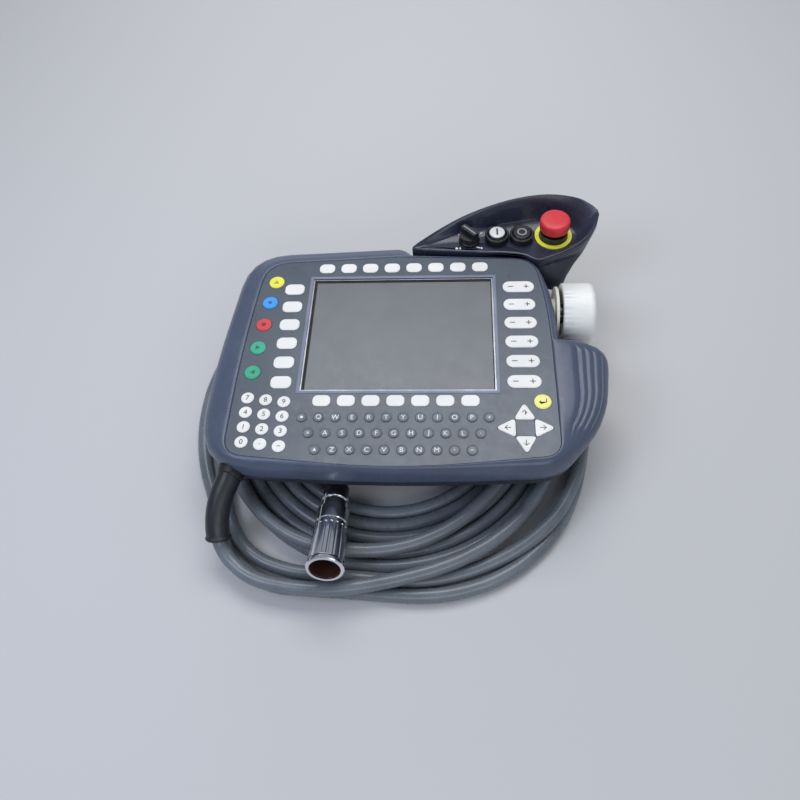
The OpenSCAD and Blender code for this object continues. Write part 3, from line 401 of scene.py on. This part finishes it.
# cable: boot, lead over the loops, two turns on top, two loops outside, the flat spiral
# below, and the tail that comes up to the connector
cable = {
    "diameter": 12.0, "aroundSteps": 5, "alongSteps": 4,
    "boot": [(-132.5, -121, 60), (-135, -128, 59), (-137.5, -134.5, 56.5), (-142, -145.5, 51.5),
             (-145, -156, 45), (-146, -166, 37.5)],
    "lead": [(-145.5, -175, 29.5), (-143, -180.5, 25), (-138, -187.3, 21.2), (-130.5, -194, 19),
             (-120.5, -200.8, 18.4), (-107.5, -206, 18.4), (-92, -209.3, 18.4), (-75.5, -211.3, 18.4),
             (-59.5, -211.8, 18.4), (-43.5, -211, 18.4), (-27.5, -208.8, 18.4), (-12, -205.8, 18.4)],
    # azimuth, middle of the turn x and y, radius, height
    "turns": [(276, -12, -50, 152.4, 18.4), (288, -12, -50, 150.2, 18.4), (300, -12, -50, 149.6, 18.4),
              (330, -12, -50, 150.4, 18.4), (360, -12, -50, 150.4, 18.4), (450, -12, -50, 149.4, 18.4),
              (540, -12, -50, 147, 18.4), (575, -12, -50, 143, 18.4),
              (597, -12, -50, 139, 18.4), (612, -12, -50, 133.5, 18.4), (622, -12, -50, 130, 18.4),
              (635, -12, -50, 126.5, 18.4), (647, -12, -50, 123.3, 18.4), (662, -12, -50, 119.8, 18.4),
              (680, -12, -50, 117.4, 18.4), (715, -12, -50, 118.5, 18.4), (742, -12, -50, 120, 18.4),
              (760, -12, -50, 121.5, 19.6), (776, -12, -50, 125, 22.8), (790, -12, -50, 130, 26.6),
              (803, -12, -50, 137, 30), (814, -11, -48, 143.5, 31.4), (825, -10, -46, 150, 30.6),
              (836, -8, -42, 155.5, 28), (846, -6, -37, 160.3, 24.2), (856, -6, -36, 165, 20.4),
              (867, -6, -36, 170.3, 18.2), (878, -6, -36, 175, 15.4), (888, -6, -36, 178.6, 11),
              (897, -6, -36, 180.2, 7.6), (905, -6, -36, 180.6, 6.1), (917, -6, -36, 180.8, 6.1),
              (927, -6, -36, 181.6, 6.1), (933, -6, -36, 183.6, 6.1), (938, -6, -36, 188, 6.1),
              (942, -6, -36, 193.6, 6.1), (946, -6, -36, 198.2, 6.1), (950.5, -6, -36, 200, 6.1),
              (956, -6, -36, 198.2, 6.1), (963, -6, -36, 191, 6.1), (970, -6, -36, 183, 6.1),
              (977, -6, -36, 177.4, 6.1), (987, -6, -36, 175, 6.1), (995, -6, -36, 176.8, 6.1),
              (1006, -6, -36, 180.4, 6.1), (1020, -6, -36, 183.2, 6.1), (1036, -6, -36, 181.8, 6.1),
              (1046, -6, -36, 178.6, 6.1), (1058, -6, -36, 173.6, 6.1), (1070, -6, -36, 170.4, 6.1),
              (1110, -6, -36, 169.4, 6.1), (1170, -6, -36, 168, 6.1), (1215, -6, -36, 167.6, 6.1),
              (1256, -6, -36, 167.6, 6.1), (1276, -6, -36, 168, 6.1), (1285, -6, -36, 169.7, 6.1),
              (1291, -6, -36, 172.6, 6.1), (1298, -6, -36, 178.6, 6.1), (1304, -6, -36, 182.9, 6.1),
              (1309, -6, -36, 184, 6.1), (1314, -6, -36, 182.8, 6.1), (1321, -6, -36, 177.8, 6.1),
              (1329, -6, -36, 170.4, 6.1), (1338, -6, -36, 164.6, 6.1), (1350, -6, -36, 163.4, 6.1),
              (1362, -6, -36, 166.1, 6.1), (1373, -6, -36, 168, 6.2), (1380, -6, -36, 169.8, 7.2),
              (1386, -6, -36, 171.7, 9.6), (1392, -6, -36, 174.4, 13.8), (1398, -6, -36, 175.6, 17),
              (1404, -6, -36, 175.4, 18.3), (1411, -6, -36, 173.8, 18.4), (1420, -6, -36, 171.4, 18.4),
              (1440, -6, -36, 168, 18.4), (1462, -6, -36, 163, 18), (1478, -6, -36, 159.4, 14.6),
              (1494, -6, -36, 156.6, 9.4), (1508, -6, -36, 155.2, 6.3), (1530, -6, -36, 154.8, 6.1),
              (1616, -6, -36, 154.2, 6.1), (1650, -8, -39, 151, 6.1), (3345, -8, -39, 94.2, 6.2)],
    "step": 10, "firstStep": 4,
    "end": [(-51.0, 43.0, 6.4), (-62.0, 24.0, 6.4), (-66.0, 2.0, 6.4), (-65.0, -22.0, 6.4),
            (-63.0, -46.0, 7.0), (-60.0, -70.0, 9.5), (-56.5, -92.0, 15.0),
            (-51.8, -114.4, 23.65), (-51.8, -120.0, 25.2)],
}


def cubic(rows, at, x):
    # a smooth value between rows that are unevenly spaced in their first column
    before, low, high, after = (rows[max(0, min(len(rows) - 1, at + k))] for k in (-1, 0, 1, 2))
    span = high[0] - low[0]
    t = (x - low[0]) / span
    out = []
    for k in range(1, 5):
        step = high[k] - low[k]
        slope0 = (high[k] - before[k]) / (high[0] - before[0]) * span
        slope1 = (after[k] - low[k]) / (after[0] - low[0]) * span
        curved = 3 * step - 2 * slope0 - slope1 + t * (slope0 + slope1 - 2 * step)
        out.append(low[k] + t * (slope0 + t * curved))
    return out


def cableRoute(spec):
    points = [Vector(p) for p in spec["boot"] + spec["lead"]]
    turns = spec["turns"]
    azimuth = turns[0][0] + spec["firstStep"]
    at = 0
    while azimuth < turns[-1][0]:
        while turns[at + 1][0] < azimuth:
            at += 1
        x, y, radius, z = cubic(turns, at, azimuth)
        angle = math.radians(azimuth)
        points.append(Vector((x + radius * math.cos(angle), y + radius * math.sin(angle), z)))
        azimuth += spec["step"]
    return points + [Vector(p) for p in spec["end"]]


def cableCurve(name, points, spec):
    data = bpy.data.curves.new(name, "CURVE")
    data.dimensions = "3D"
    data.bevel_depth = spec["diameter"] / 2000
    data.bevel_resolution = spec["aroundSteps"]
    data.resolution_u = spec["alongSteps"]
    data.use_fill_caps = True
    spline = data.splines.new("BEZIER")
    spline.bezier_points.add(len(points) - 1)
    for point, place in zip(spline.bezier_points, points):
        point.co = place / 1000
        point.handle_left_type = "AUTO"
        point.handle_right_type = "AUTO"
    obj = bpy.data.objects.new(name, data)
    scene.collection.objects.link(obj)
    return obj


route = cableRoute(cable)
cableObj = cableCurve("cable", route, cable)
cableObj.data.materials.append(materials["cable"])
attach(cableObj, "pendant")
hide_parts("cable_lead", "cable_coil", "cable_tail")


# boot over the cable's exit, with a lip round its end
boot = {"radius": 10.0, "taper": 0.35, "lip": 10.7, "lipLength": 3.2, "lipEnd": 0.4, "lipDrop": 0.9,
        "steps": 10, "sides": 14, "edge": 0.25}


def smoothLine(points, steps):
    out = []
    for i in range(len(points) - 1):
        p1, p2 = Vector(points[i]), Vector(points[i + 1])
        p0 = Vector(points[i - 1]) if i else p1 * 2 - p2
        p3 = Vector(points[i + 2]) if i < len(points) - 2 else p2 * 2 - p1
        for k in range(steps):
            t = k / steps
            out.append(p1 + (p2 - p0) * t / 2 + (p0 * 2 - p1 * 5 + p2 * 4 - p3) * t * t / 2
                       + (p1 * 3 - p0 - p2 * 3 + p3) * t ** 3 / 2)
    return out + [Vector(points[-1])]


def tube(name, points, radii):
    data = bpy.data.curves.new(name, "CURVE")
    data.dimensions = "3D"
    data.bevel_depth = 0.001
    data.bevel_resolution = boot["sides"]
    data.use_fill_caps = True
    spline = data.splines.new("POLY")
    spline.points.add(len(points) - 1)
    for point, place, radius in zip(spline.points, points, radii):
        point.co = (*(place / 1000), 1)
        point.radius = radius
    obj = bpy.data.objects.new(name, data)
    scene.collection.objects.link(obj)
    pick(obj)
    bpy.ops.object.convert(target="MESH")
    return bpy.context.object


line = smoothLine(cable["boot"] + cable["lead"][:1], boot["steps"])
whole = sum((b - a).length for a, b in zip(line, line[1:]))
bootPoints, bootRadii = [], []
run = 0
for i, place in enumerate(line):
    if i:
        run += (place - line[i - 1]).length
    left = whole - run
    radius = boot["radius"] - boot["taper"] * run / whole
    if left < boot["lipLength"]:
        radius = boot["lip"] - (boot["lipDrop"] if left < boot["lipEnd"] else 0)
    bootPoints.append(place)
    bootRadii.append(radius)
bootObj = tube("cable_boot_finished", bootPoints, bootRadii)
softenEdges(bootObj, boot["edge"])
finishPiece(bootObj, "cable_boot_finished", "pendant", "boot")
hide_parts("cable_boot")
print("boot:", round(whole, 1), "mm")


# trim round the display opening, a raised lip whose lighter tone is a painted highlight, and inside it a dark
# band that is painted shadow of the recess walls, widest at the left and top
screenTrim = {"width": 165.4, "depth": 124.9, "band": 2.9, "gap": 0.2,
              "low": 79.9, "rise": 0.55, "edge": 0.35}
# dark band inside the opening: painted shadow of the recess walls, so widest at the left and top
recessShadow = {"width": 162.8, "depth": 122.3, "left": 2.3, "right": 0.7, "top": 1.9, "bottom": 0.4,
          "low": 78.02, "rise": 0.5, "edge": 0.1}


def ringPlate(name, outer, inner, low, rise, edge):
    # outer and inner are the middle x, y, width and depth of two rectangles
    bpy.ops.mesh.primitive_plane_add(size=1, location=mm(outer[0], outer[1], low))
    obj = bpy.context.object
    obj.scale = mm(outer[2], outer[3], 1000)
    bpy.ops.object.transform_apply(location=True, rotation=False, scale=True)
    bpy.ops.object.mode_set(mode="EDIT")
    bpy.ops.mesh.inset(thickness=0.0005)
    bpy.ops.object.mode_set(mode="OBJECT")
    middle = obj.data.polygons[0]
    for face in obj.data.polygons:
        offset = (face.center.x - outer[0] / 1000, face.center.y - outer[1] / 1000)
        if max(abs(offset[0]), abs(offset[1])) < 0.002:
            middle = face
    for vertex in middle.vertices:
        co = obj.data.vertices[vertex].co
        co.x = (inner[0] + math.copysign(inner[2] / 2, co.x - outer[0] / 1000)) / 1000
        co.y = (inner[1] + math.copysign(inner[3] / 2, co.y - outer[1] / 1000)) / 1000
    for part in (obj.data.vertices, obj.data.edges, obj.data.polygons):
        for item in part:
            item.select = False
    middle.select = True
    bpy.ops.object.mode_set(mode="EDIT")
    bpy.ops.mesh.select_mode(type="FACE")
    bpy.ops.mesh.delete(type="ONLY_FACE")
    bpy.ops.mesh.select_all(action="SELECT")
    bpy.ops.mesh.extrude_region_move(TRANSFORM_OT_translate={"value": (0, 0, rise / 1000)})
    bpy.ops.mesh.select_all(action="SELECT")
    bpy.ops.mesh.normals_make_consistent(inside=False)
    bpy.ops.object.mode_set(mode="OBJECT")
    softenEdges(obj, edge)
    return obj


# raised lip round the opening; its lighter finish is a painted highlight of the chamfer
clearSelection()
trimOuter = (0, 0, screenTrim["width"] + 2 * screenTrim["band"], screenTrim["depth"] + 2 * screenTrim["band"])
trimInner = (0, 0, screenTrim["width"] + screenTrim["gap"], screenTrim["depth"] + screenTrim["gap"])
trimObj = ringPlate("screen_trim", trimOuter, trimInner,
                    screenTrim["low"], screenTrim["rise"], screenTrim["edge"])
finishPiece(trimObj, "screen_trim", "pendant", "frame", "trim_painted_highlight")
# dark band in the seal finish, laid where there is only shade: painted shadow
clearSelection()
recessShadowObj = ringPlate("screen_recess_shadow", (0, 0, recessShadow["width"], recessShadow["depth"]),
                      ((recessShadow["left"] - recessShadow["right"]) / 2, (recessShadow["bottom"] - recessShadow["top"]) / 2,
                       recessShadow["width"] - recessShadow["left"] - recessShadow["right"],
                       recessShadow["depth"] - recessShadow["top"] - recessShadow["bottom"]),
                      recessShadow["low"], recessShadow["rise"], recessShadow["edge"])
finishPiece(recessShadowObj, "screen_recess_shadow", "pendant", "seal")
print("display trim done")


# letter keys: a raised round rim with a dished middle, one made and 32 copied
letterKeys = {
    "rows": [(-77.5, -88.7, 12), (-70.7, -103.6, 11), (-63.8, -119.0, 10)],
    "pitch": 13.92, "radius": 4.6, "sides": 28, "low": 79.95, "rise": 0.95, "edge": 0.18, "edgeAngle": 25,
    "rimOuter": 0.405, "rimInner": 0.495, "dish": 0.55, "step": 0.6, "stepDrop": 0.1,
    "letters": ["oQWERTYUIOP+", "xASDFGHJKL.", "vZXCVBNM,-"],
    "letterSize": 5.945, "signSize": 3.28, "small": "ov",
    "signs": {"o": "●", "x": "×", "v": "▲", "-": "−"},
}

clearSelection()
bpy.ops.mesh.primitive_cylinder_add(vertices=letterKeys["sides"], radius=letterKeys["radius"] / 1000,
                                    depth=letterKeys["rise"] / 1000,
                                    location=(0, 0, letterKeys["rise"] / 2000))
dome = bpy.context.object
bpy.ops.object.transform_apply(location=True, rotation=False, scale=False)


def selectTopFace(obj):
    best = max(obj.data.polygons, key=lambda face: face.center.z - (100 if face.normal.z < 0.9 else 0))
    for part in (obj.data.vertices, obj.data.edges, obj.data.polygons):
        for item in part:
            item.select = False
    best.select = True
    bpy.ops.object.mode_set(mode="EDIT")
    bpy.ops.mesh.select_mode(type="FACE")


selectTopFace(dome)
bpy.ops.mesh.inset(thickness=letterKeys["rimOuter"] / 1000)
bpy.ops.mesh.inset(thickness=letterKeys["rimInner"] / 1000)
bpy.ops.transform.translate(value=(0, 0, -letterKeys["dish"] / 1000))
bpy.ops.mesh.inset(thickness=letterKeys["step"] / 1000)
bpy.ops.transform.translate(value=(0, 0, -letterKeys["stepDrop"] / 1000))
bpy.ops.object.mode_set(mode="OBJECT")
softenEdges(dome, letterKeys["edge"], 2, letterKeys["edgeAngle"])
domes = []
letterPlaces = []
for (x0, y0, count), letters in zip(letterKeys["rows"], letterKeys["letters"]):
    for k in range(count):
        place = (x0 + letterKeys["pitch"] * k, y0)
        copy = bpy.data.objects.new("dome", dome.data.copy())
        scene.collection.objects.link(copy)
        copy.data.transform(Matrix.Translation(mm(place[0], place[1], letterKeys["low"])))
        domes.append(copy)
        letterPlaces.append((letters[k], place[0], place[1]))
bpy.data.objects.remove(dome)
domesObj = joinAll(domes)
finishPiece(domesObj, "letter_keys_finished", "pendant", "letter_key")
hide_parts("letter_keys")
print("letter keys:", len(letterPlaces))


# printed marks: numbers, single letters, plus and minus, and arrows
printing = {"depth": 0.12, "curveSteps": 3, "keyTop": 80.92}


def mark(text, x, y, z, size):
    clearSelection()
    bpy.ops.object.text_add(location=(0, 0, 0))
    textObj = bpy.context.object
    textObj.data.body = text
    textObj.data.size = size / 1000
    textObj.data.extrude = printing["depth"] / 2000
    textObj.data.resolution_u = printing["curveSteps"]
    bpy.ops.object.convert(target="MESH")
    obj = bpy.context.object
    xs = [v.co.x for v in obj.data.vertices]
    ys = [v.co.y for v in obj.data.vertices]
    centre = Matrix.Translation((-(min(xs) + max(xs)) / 2, -(min(ys) + max(ys)) / 2, 0))
    obj.data.transform(Matrix.Translation(mm(x, y, z)) @ centre)
    return obj


numberKeys = {"at": (-125.4, -70), "column": (15.6, -1.9), "row": (0.35, -14.15),
              "digits": ["789", "456", "123", "0.-"], "size": 6.6}
rockers = {"x": 105.5, "y": [50.3 - 20.84 * k for k in range(6)], "reach": 7.0, "size": 9.6}

group = []
for r, row in enumerate(numberKeys["digits"]):
    for c, digit in enumerate(row):
        x = numberKeys["at"][0] + numberKeys["row"][0] * r + numberKeys["column"][0] * c
        y = numberKeys["at"][1] + numberKeys["row"][1] * r + numberKeys["column"][1] * c
        sign = letterKeys["signs"]["-"] if digit == "-" else digit
        group.append(mark(sign, x, y, printing["keyTop"], numberKeys["size"]))
for y in rockers["y"]:
    group.append(mark("−", rockers["x"] - rockers["reach"], y, printing["keyTop"], rockers["size"]))
    group.append(mark("+", rockers["x"] + rockers["reach"], y, printing["keyTop"], rockers["size"]))
finishPiece(joinAll(group), "number_and_rocker_marks", "pendant", "black_plastic", "dark_mark")

group = []
dishTop = letterKeys["low"] + letterKeys["rise"] - letterKeys["dish"]
for letter, x, y in letterPlaces:
    size = letterKeys["signSize" if letter in letterKeys["small"] else "letterSize"]
    group.append(mark(letterKeys["signs"].get(letter, letter), x, y, dishTop, size))
finishPiece(joinAll(group), "letter_marks", "pendant", "white_key", "light_mark")

# marks that move with their keys: text, place, size, finish
keyMarks = {
    "cursor_up_key": ("↑", 104, -84.6, 7.2, "dark_mark"),
    "cursor_down_key": ("↓", 104, -112.6, 7.2, "dark_mark"),
    "cursor_left_key": ("←", 90, -98.6, 7.2, "dark_mark"),
    "cursor_right_key": ("→", 118, -98.6, 7.2, "dark_mark"),
    "enter_key": ("↵", 119.3, -73.8, 8.4, "dark_mark"),
    "yellow_key": ("▲", -117.3, 59.1, 6.0, "enterDark"),
    "blue_key": ("●", -120.2, 34.1, 4.6, "blueDark"),
    "red_key": ("■", -122.6, 8.5, 5.0, "redDark"),
    "upper_green_key": ("▶", -124.1, -17.3, 5.4, "greenDark"),
    "lower_green_key": ("◀", -125.2, -43.7, 5.4, "greenDark"),
}
for node, (text, x, y, size, look) in keyMarks.items():
    finishPiece(mark(text, x, y, printing["keyTop"], size), node + "_mark", bodyOf[node],
                "black_plastic", look)
print("marks done")


# switch pod: the line on the knob, small signs beside it, bar and ring on the drive buttons;
# bars are length, width, height and turn, signs are x, y, length, width and turn
pod = {
    "knob": (62, 106.5, 97.32), "knobLine": (15.5, 1.2, 0.24, 135),
    "driveOn": (88, 108.8, 91.92), "driveOnBar": (8.4, 1.5, 0.24, 90),
    "driveOff": (111.2, 109, 91.02), "driveOffRing": (4.6, 3.2, 0.2), "ringSides": 40, "ringEdge": 0.08,
    "signZ": 83.1, "signHeight": 0.2,
    "signs": [(50.2, 96.6, 2.2, 2.2, 45), (53.4, 96.6, 1.1, 2.6, 0), (70.4, 97.4, 3.6, 1.2, -20),
              (73.4, 96.6, 1.4, 2.2, 20), (51.8, 115.4, 2.4, 1.2, -45), (73.4, 116.2, 2.6, 1.2, 45)],
}


def bar(x, y, z, length, width, height, degrees, edge=0.15):
    clearSelection()
    bpy.ops.mesh.primitive_cube_add(size=1, location=(0, 0, 0))
    obj = bpy.context.object
    obj.data.transform(Matrix.Diagonal((length / 1000, width / 1000, height / 1000, 1)))
    softenEdges(obj, edge)
    obj.data.transform(Matrix.Translation(mm(x, y, z)) @ Matrix.Rotation(math.radians(degrees), 4, "Z"))
    return obj


finishPiece(bar(*pod["knob"], *pod["knobLine"]), "knob_line", bodyOf["mode_knob"], "white_key", "grey_mark")
finishPiece(bar(*pod["driveOn"], *pod["driveOnBar"]), "drives_on_mark",
            bodyOf["drives_on_button"], "black_plastic", "dark_mark")


def ring(x, y, z, outer, inner, height):
    clearSelection()
    bpy.ops.mesh.primitive_circle_add(vertices=pod["ringSides"], radius=inner / 1000, location=mm(x, y, z))
    obj = bpy.context.object
    bpy.ops.object.transform_apply(location=True, rotation=False, scale=False)
    bpy.ops.object.mode_set(mode="EDIT")
    bpy.ops.mesh.select_mode(type="VERT")
    bpy.ops.mesh.select_all(action="SELECT")
    bpy.ops.mesh.extrude_region_move()
    bpy.ops.transform.resize(value=(outer / inner, outer / inner, 1), center_override=mm(x, y, z))
    bpy.ops.mesh.select_all(action="SELECT")
    bpy.ops.mesh.extrude_region_move(TRANSFORM_OT_translate={"value": (0, 0, height / 1000)})
    bpy.ops.mesh.select_all(action="SELECT")
    bpy.ops.mesh.normals_make_consistent(inside=False)
    bpy.ops.object.mode_set(mode="OBJECT")
    softenEdges(obj, pod["ringEdge"])
    return obj


finishPiece(ring(*pod["driveOff"], *pod["driveOffRing"]), "drives_off_mark",
            bodyOf["drives_off_button"], "white_key", "grey_mark")
group = [bar(x, y, pod["signZ"], length, width, pod["signHeight"], degrees)
         for x, y, length, width, degrees in pod["signs"]]
finishPiece(joinAll(group), "knob_signs", "pendant", "white_key", "light_mark")
print("pod marks done")


# grip ribs on the enabling switches: one rib made, copied along each bar
ribs = {"low": 38.1, "length": 10.5, "width": 1.3, "height": 1.0, "edge": 0.3,
        "pitch": 4.6, "count": 11,
        "switches": {"enable_switch_left": (-92, -20, 0), "enable_switch_right": (98, -52, 0),
                     "enable_switch_back": (-18, 62, 90)}}
for node, (x, y, degrees) in ribs["switches"].items():
    group = []
    for k in range(ribs["count"]):
        along = (k - (ribs["count"] - 1) / 2) * ribs["pitch"]
        angle = math.radians(degrees + 90)
        group.append(bar(x + along * math.cos(angle), y + along * math.sin(angle), ribs["low"],
                         ribs["length"], ribs["width"], ribs["height"], degrees, ribs["edge"]))
    finishPiece(joinAll(group), node + "_ribs", bodyOf[node], "switch_white")
print("switch ribs done")
